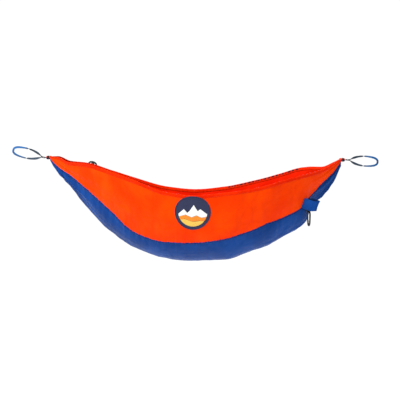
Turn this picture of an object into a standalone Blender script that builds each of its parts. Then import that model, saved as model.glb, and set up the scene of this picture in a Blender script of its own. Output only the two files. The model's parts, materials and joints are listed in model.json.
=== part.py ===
"""Camping hammock of the small, gathered-end kind, as it hangs between two anchors.

Metres, +Z up. X runs along the hammock, from its left end to its right, -Y is the front.
The origin is the middle of the straight line between the bights of the two end loops.

Three cloth panels make the trough: a front and a back panel, and a bottom panel that joins
them. Each end is gathered, whipped with cord, and carries a webbing loop on a cord eye.
Two snap carabiners hang on webbing keepers, and each has a hinged gate.
"""

import math

import bmesh
import bpy
from mathutils import Matrix, Vector

# ---------------------------------------------------------------- driving dimensions

# The trough, station by station along X:
# x, front rim height, back rim height, seam height, keel height, half width at the rims.
STATIONS = (
    (-0.690, -0.003, -0.002, -0.011, -0.020, 0.009),
    (-0.655, -0.004, -0.002, -0.045, -0.074, 0.028),
    (-0.600, -0.025, -0.026, -0.080, -0.135, 0.062),
    (-0.520, -0.031, -0.037, -0.143, -0.233, 0.110),
    (-0.400, -0.066, -0.076, -0.256, -0.357, 0.165),
    (-0.280, -0.107, -0.117, -0.357, -0.437, 0.203),
    (-0.140, -0.158, -0.157, -0.399, -0.485, 0.225),
    (0.000, -0.174, -0.171, -0.402, -0.498, 0.232),
    (0.140, -0.161, -0.158, -0.383, -0.494, 0.225),
    (0.280, -0.142, -0.128, -0.337, -0.448, 0.203),
    (0.345, -0.126, -0.111, -0.310, -0.426, 0.185),
    (0.400, -0.110, -0.094, -0.284, -0.394, 0.165),
    (0.505, -0.084, -0.061, -0.209, -0.330, 0.119),
    (0.550, -0.074, -0.055, -0.172, -0.236, 0.093),
    (0.600, -0.060, -0.054, -0.130, -0.192, 0.062),
    (0.655, -0.032, -0.031, -0.075, -0.118, 0.030),
    (0.690, -0.013, -0.012, -0.026, -0.046, 0.010),
)
RIM_ANGLE = math.radians(70)  # how far round the section's arc the rim is from the keel
CLOTH = 0.0010  # panel thickness, which stands for the cloth and its soft bulk
GAP = 0.0003  # between pieces that touch
LENGTH_STEPS = 56
SIDE_STEPS = 6
BOTTOM_STEPS = 8
# The bottom panel's lengths, each with the share of the hammock's length where it ends.
BOTTOM_LENGTHS = (
    ("bottom_panel_left_end", 0.14),
    ("bottom_panel_head", 0.30),
    ("bottom_panel_back", 0.50),
    ("bottom_panel_seat", 0.70),
    ("bottom_panel_legs", 0.86),
    ("bottom_panel_right_end", 1.00),
)

HEM_WIDTH = 0.016
HEM_THICKNESS = 0.0018
HEM_SHARE = 0.25  # the most of a section's side that the hem takes, near the gathered ends
TRIM_FROM, TRIM_TO = 0.150, 0.505  # the trim tape's stretch of the back rim
TRIM_WIDTH = 0.010
TRIM_THICKNESS = 0.0012

BADGE_RADIUS = 0.088
BADGE_X = -0.012
BADGE_DROP = 0.092  # from the front rim down the cloth to the badge's centre
BADGE_THICKNESS = 0.0008

END_RADIUS = 0.0080
END_TIP_RADIUS = 0.0060
END_LENGTH = 0.016
CORD_RADIUS = 0.0020  # gathering cord, which also makes the eye
WHIP_RADIUS = 0.0011
WHIP_TURNS = 4
EYE_REACH = 0.0098
EYE_HALF_WIDTH = 0.0100

WEBBING_WIDTH = 0.012
WEBBING_THICKNESS = 0.0012
WEBBING_CLEARANCE = 0.0004
BAND_AT = 0.0095  # the sewn band that closes the loop round the cord eye
BAND_LENGTH = 0.005
BAND_WALL = 0.0008
BAND_HALF_HEIGHT = 0.0034
# Half of the loop, from behind the eye to the bight: along it, across it, and its webbing's
# twist. At 90 degrees the webbing is edge on to the front, and at 0 it shows its face.
LOOP_HALF = (
    (-0.0030, 0.0000, 90),
    (-0.0021, 0.0021, 90),
    (0.0000, 0.0030, 90),
    (0.0060, 0.0016, 90),
    (0.0120, 0.0014, 88),
    (0.0200, 0.0055, 66),
    (0.0360, 0.0135, 30),
    (0.0560, 0.0195, 40),
    (0.0760, 0.0225, 82),
    (0.0980, 0.0228, 118),
    (0.1200, 0.0205, 138),
    (0.1360, 0.0160, 145),
    (0.1450, 0.0090, 145),
    (0.1470, 0.0030, 145),
)

RING_ROD = 0.0040
# The frame's line across and down from the middle of its straight bar, from its nose to its
# hinge end.
RING_LINE = (
    (-0.0190, 0.0135),
    (-0.0175, 0.0065),
    (-0.0135, 0.0015),
    (-0.0085, 0.0000),
    (0.0085, 0.0000),
    (0.0135, 0.0015),
    (0.0178, 0.0065),
    (0.0193, 0.0140),
    (0.0188, 0.0260),
    (0.0162, 0.0480),
    (0.0125, 0.0585),
    (0.0065, 0.0645),
    (0.0000, 0.0660),
    (-0.0065, 0.0640),
    (-0.0122, 0.0575),
    (-0.0148, 0.0515),
    (-0.0153, 0.0470),
)
GATE_HINGE = (-0.0150, 0.0500)
GATE_ROD = 0.0036
GATE_NOSE = (-0.0190, 0.0155)
FORK_LENGTH = 0.0075
TONGUE = 0.0030
FORK_SLOT = 0.0038
PIN_RADIUS = 0.0010
PIN_CLEARANCE = 0.0001
KEEPER_WIDTH = 0.016
KEEPER_THICKNESS = 0.0014

# Each carabiner's bar: its middle, the turn of its line about the vertical and its tilt.
RIGHT_BAR = Vector((0.535, -0.078, -0.259))
RIGHT_TURN = math.radians(-75)
RIGHT_ROOT_X, RIGHT_ROOT_DROP = 0.512, 0.030  # where its keeper is sewn, below the front seam
LEFT_X = -0.492
LEFT_BAR_RISE = 0.0075  # of the bar's axis above the back rim
LEFT_BAR_OUT = 0.0130
LEFT_TILT = math.radians(15)
LEFT_ROOT_DROP = 0.012  # where its keeper is sewn, below the back rim

TAB_ROOT = Vector((0.507, -0.0925, -0.2165))
TAB_WIDTH = 0.050
TAB_TILT = math.radians(-20)
TAB_THICKNESS = 0.0014
# The tab's line along itself and out from the panel: front layer, fold, back layer.
TAB_LINE = (
    (0.000, 0.0032),
    (0.012, 0.0105),
    (0.036, 0.0160),
    (0.060, 0.0155),
    (0.069, 0.0135),
    (0.072, 0.0105),
    (0.069, 0.0080),
    (0.060, 0.0067),
    (0.036, 0.0065),
    (0.012, 0.0040),
    (0.001, 0.0007),
)

TIPS = {"left": Vector((-0.6992, 0, -0.0070)), "right": Vector((0.7002, 0, -0.0180))}
BIGHTS = {"left": Vector((-0.864, 0, 0.0285)), "right": Vector((0.864, 0, -0.0285))}
OUTWARD = {"left": -1.0, "right": 1.0}


# ---------------------------------------------------------------- scene and materials


def clear_scene():
    for item in list(bpy.data.objects):
        bpy.data.objects.remove(item, do_unlink=True)


def collection(name):
    made = bpy.data.collections.new(name)
    bpy.context.scene.collection.children.link(made)
    return made


def material(name, colour, roughness, metallic=0.0):
    made = bpy.data.materials.new(name)
    made.use_nodes = True
    shader = made.node_tree.nodes["Principled BSDF"]
    shader.inputs["Base Color"].default_value = (*colour, 1.0)
    shader.inputs["Roughness"].default_value = roughness
    shader.inputs["Metallic"].default_value = metallic
    return made


def place_object(name, data, surface, parent=None):
    """A new object of this mesh or curve, in the hammock's collection."""
    made = bpy.data.objects.new(name, data)
    data.materials.append(surface)
    HAMMOCK.objects.link(made)
    made.parent = parent
    return made


def empty_at(name, matrix, parent=None):
    """A pivot: its place is its joint's axis."""
    made = bpy.data.objects.new(name, None)
    made.empty_display_size = 0.01
    HAMMOCK.objects.link(made)
    made.parent = parent
    made.matrix_basis = matrix
    return made


# ---------------------------------------------------------------- modelling tools


def sheet(name, columns, rows, place, thickness, surface, parent=None, offset=0.0, weld=False):
    """A solidified grid whose point (u, v), both 0 to 1, lies at place(u, v)."""
    grid = bmesh.new()
    bmesh.ops.create_grid(grid, x_segments=columns, y_segments=rows, size=0.5)
    for vertex in grid.verts:
        vertex.co = place(vertex.co.x + 0.5, vertex.co.y + 0.5)
    if weld:
        bmesh.ops.remove_doubles(grid, verts=grid.verts, dist=1e-6)
    mesh = bpy.data.meshes.new(name)
    grid.to_mesh(mesh)
    grid.free()
    made = place_object(name, mesh, surface, parent)
    shell = made.modifiers.new("thickness", "SOLIDIFY")
    shell.thickness = thickness
    shell.offset = offset
    shell.use_even_offset = True
    return made


def rod(name, points, radius, surface, parent=None, sides=2):
    """A round rod through these points, with flat ends."""
    line = bpy.data.curves.new(name, "CURVE")
    line.dimensions = "3D"
    line.bevel_depth = radius
    line.bevel_resolution = sides
    line.use_fill_caps = True
    spline = line.splines.new("POLY")
    spline.points.add(len(points) - 1)
    for item, point in zip(spline.points, points):
        item.co = (*point, 1.0)
    return place_object(name, line, surface, parent)


def as_mesh(curve_object):
    """The same object as a mesh with welded caps, which a Boolean needs."""
    bpy.context.view_layer.update()
    graph = bpy.context.evaluated_depsgraph_get()
    mesh = bpy.data.meshes.new_from_object(curve_object.evaluated_get(graph))
    welded = bmesh.new()
    welded.from_mesh(mesh)
    bmesh.ops.remove_doubles(welded, verts=welded.verts, dist=1e-6)
    welded.to_mesh(mesh)
    welded.free()
    name, parent = curve_object.name, curve_object.parent
    local = curve_object.matrix_basis.copy()
    bpy.data.objects.remove(curve_object)
    made = bpy.data.objects.new(name, mesh)
    HAMMOCK.objects.link(made)
    made.parent = parent
    made.matrix_basis = local
    return made


def cylinder_between(name, start, end, radius, surface, parent=None, end_radius=None, segments=16):
    """A straight round bar, or a cone if its end has another radius."""
    solid = bmesh.new()
    start, end = Vector(start), Vector(end)
    along = end - start
    bmesh.ops.create_cone(
        solid,
        cap_ends=True,
        segments=segments,
        radius1=radius,
        radius2=radius if end_radius is None else end_radius,
        depth=along.length,
        matrix=Matrix.Translation((start + end) / 2) @ along.to_track_quat("Z", "Y").to_matrix().to_4x4(),
    )
    mesh = bpy.data.meshes.new(name)
    solid.to_mesh(mesh)
    solid.free()
    return place_object(name, mesh, surface, parent)


def box_mesh(name, centre, size, turn=0.0):
    """A box turned about its own Y axis."""
    solid = bmesh.new()
    bmesh.ops.create_cube(
        solid,
        size=1.0,
        matrix=Matrix.Translation(centre) @ Matrix.Rotation(turn, 4, "Y") @ Matrix.Diagonal((*size, 1.0)),
    )
    mesh = bpy.data.meshes.new(name)
    solid.to_mesh(mesh)
    solid.free()
    return mesh


def cut(target, cutter_data, name):
    """Takes the cutter's shape, given in the target's own coordinates, out of the target."""
    cutter = bpy.data.objects.new(name, cutter_data)
    CUTTERS.objects.link(cutter)
    cutter.parent = target.parent
    cutter.matrix_basis = target.matrix_basis
    cutter.hide_render = True
    cutter.display_type = "WIRE"
    boolean = target.modifiers.new(name, "BOOLEAN")
    boolean.operation = "DIFFERENCE"
    boolean.object = cutter


def shade_round(target, angle=math.radians(40)):
    target.data.shade_smooth()
    target.data.set_sharp_from_angle(angle=angle)


def smooth_line(points, per_span):
    """Points on a Catmull-Rom curve through these, per_span to each stretch."""
    line = [Vector(p) for p in points]
    padded = [2 * line[0] - line[1], *line, 2 * line[-1] - line[-2]]
    found = []
    for a, b, c, d in zip(padded, padded[1:], padded[2:], padded[3:]):
        for step in range(per_span):
            t = step / per_span
            found.append(
                0.5 * (2 * b + (c - a) * t + (2 * a - 5 * b + 4 * c - d) * t**2 + (3 * b - a - 3 * c + d) * t**3)
            )
    found.append(line[-1])
    return found


# ---------------------------------------------------------------- the trough's shape


def slopes_of(column):
    """A slope at each station that never makes the curve overshoot the stations."""
    spans = [
        (b[column] - a[column]) / (b[0] - a[0]) for a, b in zip(STATIONS, STATIONS[1:])
    ]
    inner = [2 * p * q / (p + q) if p * q > 0 else 0.0 for p, q in zip(spans, spans[1:])]
    return [spans[0], *inner, spans[-1]]


SLOPES = {column: slopes_of(column) for column in range(1, 6)}


def station_at(x):
    """(front rim, back rim, seam, keel, half width) at x."""
    x = min(max(x, STATIONS[0][0]), STATIONS[-1][0])
    i = next(k for k in range(len(STATIONS) - 1) if x <= STATIONS[k + 1][0])
    a, b = STATIONS[i], STATIONS[i + 1]
    width = b[0] - a[0]
    t = (x - a[0]) / width
    found = []
    for column in range(1, 6):
        start, end = SLOPES[column][i] * width, SLOPES[column][i + 1] * width
        found.append(
            a[column] * (2 * t**3 - 3 * t**2 + 1)
            + start * (t**3 - 2 * t**2 + t)
            + b[column] * (3 * t**2 - 2 * t**3)
            + end * (t**3 - t**2)
        )
    return found


def hull(x, side, t):
    """The cloth's outer face: side -1 is front and 1 back, t runs from the keel, 0, to the rim, 1."""
    front_rim, back_rim, _, keel, half_width = station_at(x)
    rim = front_rim if side < 0 else back_rim
    angle = t * RIM_ANGLE
    across = half_width * math.sin(angle) / math.sin(RIM_ANGLE)
    up = (rim - keel) * (1 - math.cos(angle)) / (1 - math.cos(RIM_ANGLE))
    return Vector((x, side * across, keel + up))


def outward_normal(x, side, t):
    along = hull(x + 1e-4, side, t) - hull(x - 1e-4, side, t)
    up = hull(x, side, t + 1e-3) - hull(x, side, t - 1e-3)
    return (side * up.cross(along)).normalized()


def seam_t(x, side):
    """Where round the section the bottom panel meets a side panel."""
    front_rim, back_rim, seam, keel, _ = station_at(x)
    rim = front_rim if side < 0 else back_rim
    share = (seam - keel) / (rim - keel)
    return math.acos(1 - share * (1 - math.cos(RIM_ANGLE))) / RIM_ANGLE


def moved_t(x, side, t, distance):
    """t moved this far along the cloth, towards the rim if the distance is above 0."""
    speed = (hull(x, side, t) - hull(x, side, t - 1e-3)).length / 1e-3
    return t + distance / speed


def t_below_rim(x, side, distance):
    """t this far down the cloth from the rim."""
    t, left = 1.0, distance
    while left > 0:
        left -= (hull(x, side, t) - hull(x, side, t - 0.01)).length
        t -= 0.01
    return t - left / (hull(x, side, t) - hull(x, side, t - 0.01)).length * 0.01


def hem_start_t(x, side):
    """Where the hem's lower edge is."""
    full = moved_t(x, side, 1.0, -HEM_WIDTH)
    most = 1 - HEM_SHARE * (1 - seam_t(x, side))
    return max(full, most)


def x_at(u, start=STATIONS[0][0], end=STATIONS[-1][0]):
    return start + (end - start) * u


def make_panels():
    def side_panel(side):
        def place(u, v):
            x = x_at(u)
            low = moved_t(x, side, seam_t(x, side), GAP / 2)
            high = moved_t(x, side, hem_start_t(x, side), -GAP)
            return hull(x, side, low + (high - low) * (v if side > 0 else 1 - v))

        return place

    def bottom(first, last):
        start = x_at(first / LENGTH_STEPS) + (GAP / 2 if first else 0)
        end = x_at(last / LENGTH_STEPS) - (GAP / 2 if last < LENGTH_STEPS else 0)

        def place(u, v):
            x = x_at(u, start, end)
            side = -1.0 if v < 0.5 else 1.0
            edge = moved_t(x, side, seam_t(x, side), -GAP / 2)
            return hull(x, side, abs(2 * v - 1) * edge)

        return place

    sheet("front_panel", LENGTH_STEPS, SIDE_STEPS, side_panel(-1.0), CLOTH, ORANGE, offset=1.0)
    sheet("back_panel", LENGTH_STEPS, SIDE_STEPS, side_panel(1.0), CLOTH, ORANGE, offset=1.0)
    first = 0
    for name, share in BOTTOM_LENGTHS:
        last = round(share * LENGTH_STEPS)
        sheet(name, last - first, BOTTOM_STEPS, bottom(first, last), CLOTH, BLUE, offset=1.0)
        first = last


def make_hems():
    def hem(side):
        def place(u, v):
            x = x_at(u)
            low = hem_start_t(x, side)
            return hull(x, side, low + (1 - low) * (v if side > 0 else 1 - v))

        return place

    sheet("front_rim_hem", LENGTH_STEPS, 1, hem(-1.0), HEM_THICKNESS, ORANGE, offset=1.0)
    sheet("back_rim_hem", LENGTH_STEPS, 1, hem(1.0), HEM_THICKNESS, ORANGE, offset=1.0)


def make_trim():
    """The dashed tape sewn on the inner face of the back hem."""
    inset = HEM_THICKNESS + GAP + TRIM_THICKNESS / 2

    def place(u, v):
        x = x_at(u, TRIM_FROM, TRIM_TO)
        low = moved_t(x, 1.0, 1.0, -TRIM_WIDTH - 0.001)
        high = moved_t(x, 1.0, 1.0, -0.001)
        t = low + (high - low) * v
        return hull(x, 1.0, t) - outward_normal(x, 1.0, t) * inset

    sheet("back_rim_trim", 16, 1, place, TRIM_THICKNESS, BLACK_CLOTH)


def make_badge():
    """A round patch that follows the front panel."""
    stand_off = GAP + BADGE_THICKNESS / 2

    def place(u, v):
        radius, turn = BADGE_RADIUS * v, 2 * math.pi * u
        x = BADGE_X + radius * math.cos(turn)
        t = t_below_rim(x, -1.0, BADGE_DROP + radius * math.sin(turn))
        return hull(x, -1.0, t) + outward_normal(x, -1.0, t) * stand_off

    sheet("badge_patch", 28, 4, place, BADGE_THICKNESS, NAVY, weld=True)


# ---------------------------------------------------------------- gathered ends and loops


def make_end(side):
    """The gathered cloth, its whipping, and the cord eye that carries the loop."""
    out = OUTWARD[side]
    tip = TIPS[side]
    start = tip - Vector((out * END_LENGTH / 2, 0, 0))
    end = tip + Vector((out * END_LENGTH / 2, 0, 0))
    bundle = cylinder_between(
        f"{side}_gathered_end", start, end, END_RADIUS, BLUE, end_radius=END_TIP_RADIUS, segments=20
    )
    shade_round(bundle)

    turns = []
    steps = 12
    whip_from = 0.0035
    pitch = 2 * WHIP_RADIUS + 0.0002
    for step in range(WHIP_TURNS * steps + 1):
        angle = 2 * math.pi * step / steps
        along = whip_from + pitch * step / steps
        share = along / END_LENGTH
        radius = END_RADIUS + (END_TIP_RADIUS - END_RADIUS) * share + WHIP_RADIUS + 2 * GAP
        turns.append(
            start + Vector((out * along, radius * math.cos(angle), radius * math.sin(angle)))
        )
    rod(f"{side}_whipping", turns, WHIP_RADIUS, BLACK_CORD)

    face = end.x + out * GAP
    bar = eye_bar(side)
    legs = 0.0035
    eye = [
        Vector((face, -legs, tip.z)),
        Vector((face + out * 0.0015, -legs, tip.z)),
        Vector((bar.x - out * 0.003, -EYE_HALF_WIDTH, tip.z)),
        Vector((bar.x - out * 0.0008, -EYE_HALF_WIDTH + 0.0006, tip.z)),
        Vector((bar.x, -EYE_HALF_WIDTH + 0.0020, tip.z)),
    ]
    mirrored = [Vector((p.x, -p.y, p.z)) for p in reversed(eye)]
    rod(f"{side}_cord_eye", [*eye, *mirrored], CORD_RADIUS, BLACK_CORD)


def eye_bar(side):
    """The middle of the cord eye's outer bar, on which the end loop turns."""
    out = OUTWARD[side]
    return TIPS[side] + Vector((out * (END_LENGTH / 2 + EYE_REACH), 0, 0))


def make_loop(side):
    """A webbing loop round the cord eye. It turns about the eye's bar, along Y."""
    bar = eye_bar(side)
    reach = (BIGHTS[side] - bar).normalized()
    across = Vector((-reach.z, 0, reach.x))
    frame = Matrix((reach, Vector((0, 1, 0)), across)).transposed().to_4x4()
    pivot = empty_at(f"{side}_loop_pivot", Matrix.Translation(bar) @ frame)

    stretch = (BIGHTS[side] - bar).length / LOOP_HALF[-1][0]
    half = smooth_line([(u * stretch if u > 0.02 else u, math.radians(b), v) for u, v, b in LOOP_HALF], 2)
    twists = [p.y for p in half]
    upper = [Vector((p.x, 0, p.z)) for p in half]
    line = [*upper, *[Vector((p.x, 0, -p.z)) for p in reversed(upper)]]
    twists = [*twists, *reversed(twists)]
    widths = []
    for i, twist in enumerate(twists):
        before, after = line[max(i - 1, 0)], line[min(i + 1, len(line) - 1)]
        along = (after - before).normalized()
        if i in (0, len(line) - 1):
            along = Vector((0, 0, 1))
        if i in (len(upper) - 1, len(upper)):
            along = Vector((0, 0, -1))
        inward = Vector((along.z, 0, -along.x))
        widths.append(inward * math.cos(twist) + Vector((0, 1, 0)) * math.sin(twist))

    def place(u, v):
        i = round(u * (len(line) - 1))
        return line[i] + widths[i] * (v - 0.5) * WEBBING_WIDTH

    sheet(
        f"{side}_end_loop", len(line) - 1, 1, place, WEBBING_THICKNESS, WEBBING, pivot, weld=True
    )
    band_size = Vector((BAND_LENGTH, WEBBING_WIDTH + 2 * BAND_WALL, 2 * BAND_HALF_HEIGHT))
    band = place_object(
        f"{side}_loop_bartack",
        box_mesh("band", (BAND_AT, 0, 0), band_size + Vector((0, 2 * GAP, 0))),
        BLACK_CORD,
        pivot,
    )
    inside = band_size - Vector((-0.01, 2 * BAND_WALL - 2 * GAP, 2 * BAND_WALL))
    cut(band, box_mesh("bore", (BAND_AT, 0, 0), inside), f"{side}_bartack_cutter")


# ---------------------------------------------------------------- carabiners


def make_carabiner(side, bar, turn, tilt):
    """A moulded snap carabiner that hangs by its bar. Its own X is along the bar, and its
    own -Z is down. The gate turns about the pin, along the ring's own Y."""
    placed = Matrix.Translation(bar) @ Matrix.Rotation(turn, 4, "Z") @ Matrix.Rotation(tilt, 4, "Y")
    pivot = empty_at(f"{side}_carabiner_pivot", placed)
    line = smooth_line([(p, 0, -q) for p, q in RING_LINE], 2)
    frame = as_mesh(rod(f"{side}_carabiner_frame", line, RING_ROD, BLACK_PLASTIC, pivot))

    hinge = Vector((GATE_HINGE[0], 0, -GATE_HINGE[1]))
    nose = Vector((GATE_NOSE[0], 0, -GATE_NOSE[1]))
    gate_pivot = empty_at(f"{side}_gate_pivot", Matrix.Translation(hinge), pivot)
    lean = math.atan2(nose.x - hinge.x, nose.z - hinge.z)
    gate_length = (nose - hinge).length

    for name, sign in (("front", -1), ("back", 1)):
        size = (0.014, RING_ROD, 0.0125)
        centre = hinge + Vector((0, sign * (TONGUE / 2 + size[1] / 2), -0.0015))
        cut(frame, box_mesh("cheek", centre, size, lean), f"{side}_{name}_cheek_cutter")
    pin_hole = cylinder_data(hinge, 0.012, PIN_RADIUS + PIN_CLEARANCE)
    cut(frame, pin_hole, f"{side}_frame_pin_hole_cutter")
    shade_round(frame)

    gate = cylinder_between(
        f"{side}_carabiner_gate",
        (0, 0, -0.0036),
        (0, 0, gate_length),
        GATE_ROD,
        BLACK_PLASTIC,
        gate_pivot,
    )
    gate.matrix_basis = Matrix.Rotation(lean, 4, "Y")
    slot = box_mesh("slot", (0, 0, FORK_LENGTH / 2 - 0.004), (0.02, FORK_SLOT, FORK_LENGTH + 0.004))
    cut(gate, slot, f"{side}_gate_slot_cutter")
    cut(gate, cylinder_data(Vector(), 0.012, PIN_RADIUS + PIN_CLEARANCE), f"{side}_gate_pin_hole_cutter")
    shade_round(gate)

    half_pin = GATE_ROD * 0.9
    pin = cylinder_between(
        f"{side}_carabiner_pin", (0, -half_pin, 0), (0, half_pin, 0), PIN_RADIUS, STEEL, gate_pivot
    )
    shade_round(pin)


def cylinder_data(centre, length, radius):
    """A bare cylinder mesh along Y."""
    solid = bmesh.new()
    bmesh.ops.create_cone(
        solid,
        cap_ends=True,
        segments=16,
        radius1=radius,
        radius2=radius,
        depth=length,
        matrix=Matrix.Translation(centre) @ Matrix.Rotation(math.pi / 2, 4, "X"),
    )
    mesh = bpy.data.meshes.new("bore")
    solid.to_mesh(mesh)
    solid.free()
    return mesh


def make_keeper(name, bar, along_bar, root, twist, surface):
    """A webbing loop round a carabiner's bar. Its two legs twist on their way to root."""
    to_root = root - bar
    up = (to_root - along_bar * to_root.dot(along_bar)).normalized()
    front = along_bar.cross(up)
    radius = RING_ROD + WEBBING_CLEARANCE + KEEPER_THICKNESS / 2
    height = to_root.length
    legs = KEEPER_THICKNESS / 2 + GAP
    half = (
        (0.0, -radius),
        (radius * math.sin(math.radians(45)), -radius * math.cos(math.radians(45))),
        (radius, 0.0),
        (radius * 0.93, radius * 0.5),
        (legs + (radius - legs) * 0.4, radius + (height - radius) * 0.35),
        (legs, radius + (height - radius) * 0.7),
        (legs, height),
    )
    right = smooth_line([Vector((a, b, 0)) for a, b in half], 2)
    line = [*[Vector((-p.x, p.y, 0)) for p in reversed(right)], *right[1:]]

    def place(u, v):
        point = line[round(u * (len(line) - 1))]
        rise = max(point.y - radius, 0.0) / (height - radius)
        offset = front * point.x + along_bar * (v - 0.5) * KEEPER_WIDTH
        axis = bar.lerp(root, point.y / height) if point.y > 0 else bar + up * point.y
        return axis + Matrix.Rotation(twist * rise, 3, up) @ offset

    sheet(name, len(line) - 1, 1, place, KEEPER_THICKNESS, surface)


def make_tab():
    """The wide folded tab beside the right carabiner."""
    along = Vector((math.cos(TAB_TILT), 0, math.sin(TAB_TILT)))
    across = Vector((-along.z, 0, along.x))
    outward = Vector((0, -1, 0))
    line = smooth_line([Vector((a, b, 0)) for a, b in TAB_LINE], 2)

    def place(u, v):
        point = line[round(u * (len(line) - 1))]
        return TAB_ROOT + along * point.x + outward * point.y + across * (v - 0.5) * TAB_WIDTH

    sheet("right_gear_tab", len(line) - 1, 2, place, TAB_THICKNESS, BLUE)


def hang_right_carabiner():
    make_carabiner("right", RIGHT_BAR, RIGHT_TURN, 0.0)
    t = moved_t(RIGHT_ROOT_X, -1.0, seam_t(RIGHT_ROOT_X, -1.0), -RIGHT_ROOT_DROP)
    normal = outward_normal(RIGHT_ROOT_X, -1.0, t)
    root = hull(RIGHT_ROOT_X, -1.0, t) + normal * 0.0035
    along_bar = Matrix.Rotation(RIGHT_TURN, 3, "Z") @ Vector((1, 0, 0))
    make_keeper("right_keeper", RIGHT_BAR, along_bar, root, -RIGHT_TURN, BLACK_CLOTH)


def hang_left_carabiner():
    rim = hull(LEFT_X, 1.0, 1.0)
    bar = rim + Vector((0, LEFT_BAR_OUT, LEFT_BAR_RISE))
    make_carabiner("left", bar, 0.0, LEFT_TILT)
    t = moved_t(LEFT_X, 1.0, 1.0, -LEFT_ROOT_DROP)
    root = hull(LEFT_X, 1.0, t) + outward_normal(LEFT_X, 1.0, t) * 0.0054
    along_bar = Matrix.Rotation(LEFT_TILT, 3, "Y") @ Vector((1, 0, 0))
    make_keeper("left_keeper", bar, along_bar, root, 0.0, BLACK_CLOTH)


# ---------------------------------------------------------------- the object

clear_scene()
HAMMOCK = collection("camping_hammock")
CUTTERS = collection("cutters")
ORANGE = material("orange_nylon", (0.90, 0.11, 0.008), 0.55)
BLUE = material("blue_nylon", (0.02, 0.075, 0.34), 0.55)
NAVY = material("badge_navy", (0.03, 0.03, 0.10), 0.7)
WEBBING = material("loop_webbing", (0.03, 0.13, 0.32), 0.6)
BLACK_CLOTH = material("black_webbing", (0.012, 0.012, 0.014), 0.7)
BLACK_CORD = material("black_cord", (0.015, 0.015, 0.017), 0.7)
BLACK_PLASTIC = material("black_plastic", (0.012, 0.012, 0.013), 0.35)
STEEL = material("pin_steel", (0.55, 0.55, 0.56), 0.3, 1.0)

make_panels()
make_hems()
make_trim()
make_badge()
for END in ("left", "right"):
    make_end(END)
    make_loop(END)
hang_right_carabiner()
hang_left_carabiner()
make_tab()
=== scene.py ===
"""Looks for the small gathered-end camping hammock.

Metres, in the row frame: X along the hammock, -Y to the front, +Z up. The cloth follows the
trough of the CAD panels closely, with the gathers, creases and seam puckers of hung nylon.
"""

import json
import math

import bpy
import numpy as np
from mathutils import Matrix, Vector, noise


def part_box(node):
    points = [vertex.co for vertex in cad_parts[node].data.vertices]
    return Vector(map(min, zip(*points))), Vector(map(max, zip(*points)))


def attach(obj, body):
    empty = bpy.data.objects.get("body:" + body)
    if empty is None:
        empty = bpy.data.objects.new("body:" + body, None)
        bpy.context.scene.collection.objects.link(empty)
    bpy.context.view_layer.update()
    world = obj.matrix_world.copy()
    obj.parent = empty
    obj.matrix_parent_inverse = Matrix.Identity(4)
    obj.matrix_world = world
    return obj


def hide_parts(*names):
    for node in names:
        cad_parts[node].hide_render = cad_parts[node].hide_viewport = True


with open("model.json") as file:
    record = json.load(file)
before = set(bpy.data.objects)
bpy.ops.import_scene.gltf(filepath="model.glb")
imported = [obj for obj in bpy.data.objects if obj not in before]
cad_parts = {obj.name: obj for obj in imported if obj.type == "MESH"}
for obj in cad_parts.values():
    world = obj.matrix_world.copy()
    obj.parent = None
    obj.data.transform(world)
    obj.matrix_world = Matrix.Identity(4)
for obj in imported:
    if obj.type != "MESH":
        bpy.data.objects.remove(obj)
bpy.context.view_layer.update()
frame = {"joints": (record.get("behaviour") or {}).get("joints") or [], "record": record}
JOINTS = {joint["name"]: joint for joint in frame["joints"]}
MOUNTS = {mount["name"]: mount for mount in frame["record"]["mounts"]}
LEFT_BAR = JOINTS["left_carabiner_swing"]["pos_m"]
Y_AXIS = np.array((0.0, 1.0, 0.0))
FULL_TURN = 6.3  # radians, as close as a uv needs

# ---------- dimensions

# The trough, station by station along X:
# x, front rim height, back rim height, seam height, keel height, half width at the rims.
STATIONS = np.array((
    (-0.690, -0.003, -0.002, -0.011, -0.020, 0.009),
    (-0.655, -0.004, -0.002, -0.045, -0.074, 0.028),
    (-0.600, -0.025, -0.026, -0.080, -0.135, 0.062),
    (-0.520, -0.031, -0.037, -0.143, -0.233, 0.110),
    (-0.400, -0.066, -0.076, -0.256, -0.357, 0.165),
    (-0.280, -0.107, -0.117, -0.357, -0.437, 0.203),
    (-0.140, -0.158, -0.157, -0.399, -0.485, 0.225),
    (0.000, -0.174, -0.171, -0.402, -0.498, 0.232),
    (0.140, -0.161, -0.158, -0.383, -0.494, 0.225),
    (0.280, -0.142, -0.128, -0.337, -0.448, 0.203),
    (0.345, -0.126, -0.111, -0.310, -0.426, 0.185),
    (0.400, -0.110, -0.094, -0.291, -0.394, 0.165),
    (0.505, -0.084, -0.061, -0.238, -0.334, 0.119),
    (0.525, -0.0795, -0.058, -0.210, -0.313, 0.108),
    (0.550, -0.074, -0.055, -0.179, -0.236, 0.093),
    (0.600, -0.060, -0.054, -0.130, -0.192, 0.062),
    (0.655, -0.032, -0.031, -0.075, -0.118, 0.030),
    (0.690, -0.013, -0.012, -0.026, -0.046, 0.010),
))
RIM_ANGLE = math.radians(70)
FIRST_X, LAST_X = STATIONS[0, 0], STATIONS[-1, 0]

BOTTOM_NODES = tuple(
    f"bottom_panel_{part}" for part in ("left_end", "head", "back", "seat", "legs", "right_end")
)

COLUMNS = 560  # of the cloth's grid, along X
SIDE_ROWS = 56
BOTTOM_ROWS = 72
CLOTH = 0.0004
FLAT_REACH = 0.060  # the cloth is nearly flat this far from where a keeper is sewn to it
GATHERS = (  # folds round the section, reach from the end, and depth
    (23, 0.060, 0.0017),
    (15, 0.120, 0.0027),
    (10, 0.210, 0.0025),
    (6, 0.380, 0.0022),
)

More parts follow.
